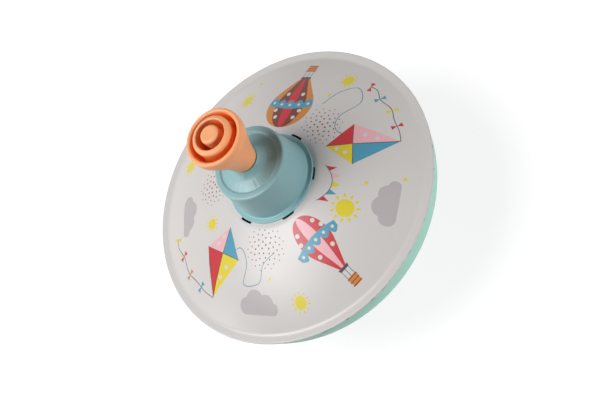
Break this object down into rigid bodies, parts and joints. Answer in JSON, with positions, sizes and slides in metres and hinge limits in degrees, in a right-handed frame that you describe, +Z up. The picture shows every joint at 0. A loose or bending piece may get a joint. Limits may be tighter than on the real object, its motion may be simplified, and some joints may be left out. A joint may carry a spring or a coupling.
{
  "type": "pump-action spinning top",
  "caption": "Hollow tin spinning top with a drive tower and a pump knob on a twisted strip that turns a clutch driver inside the body.",
  "frame": {"origin": "the lowest point of the round steel tip, which the top spins on", "axes": "+Z up the spin axis towards the knob; the snap hooks lie evenly about it, one on +X"},
  "size_m": [0.19, 0.19, 0.1621],
  "materials": {
    "white_tin": "glossy lacquered print on tin",
    "mint_tin": "glossy lacquer on tin",
    "bare_tin": "bare tinned steel",
    "teal_plastic": "satin moulded plastic",
    "orange_plastic": "satin moulded plastic",
    "natural_plastic": "uncoloured moulded plastic",
    "driver_plastic": "satin moulded plastic",
    "steel": "plain rolled steel"
  },
  "bodies": {
    "top_body": {"upper_shell": "white_tin", "lower_shell": "mint_tin", "tower": "teal_plastic", "guide_bush": "natural_plastic", "clutch_housing": "natural_plastic", "clutch_cover": "natural_plastic", "centre_tube": "bare_tin", "foot": "orange_plastic", "foot_lock_washer": "steel", "tip": "steel"},
    "drive_nut": {"driver": "driver_plastic"},
    "stop_ring": {"stop_washer": "steel"},
    "plunger": {"knob": "orange_plastic", "spindle": "steel", "stop_pin": "steel"}
  },
  "joints": [
    {"name": "driver_freewheel", "type": "hinge", "parent": "top_body", "child": "drive_nut", "pos_m": [0, 0, 0.102], "axis": [0, 0, 1], "continuous": true},
    {"name": "pump_slide", "type": "slide", "parent": "drive_nut", "child": "stop_ring", "axis": [0, 0, 1], "range_m": [0, 0.0732]},
    {"name": "spindle_twist", "type": "hinge", "parent": "stop_ring", "child": "plunger", "pos_m": [0, 0, 0.018], "axis": [0, 0, 1], "range_deg": [0, 550]}
  ],
  "couplings": [
    {"joint": "spindle_twist", "follows": "pump_slide", "rad_per_m": 130.9}
  ]
}
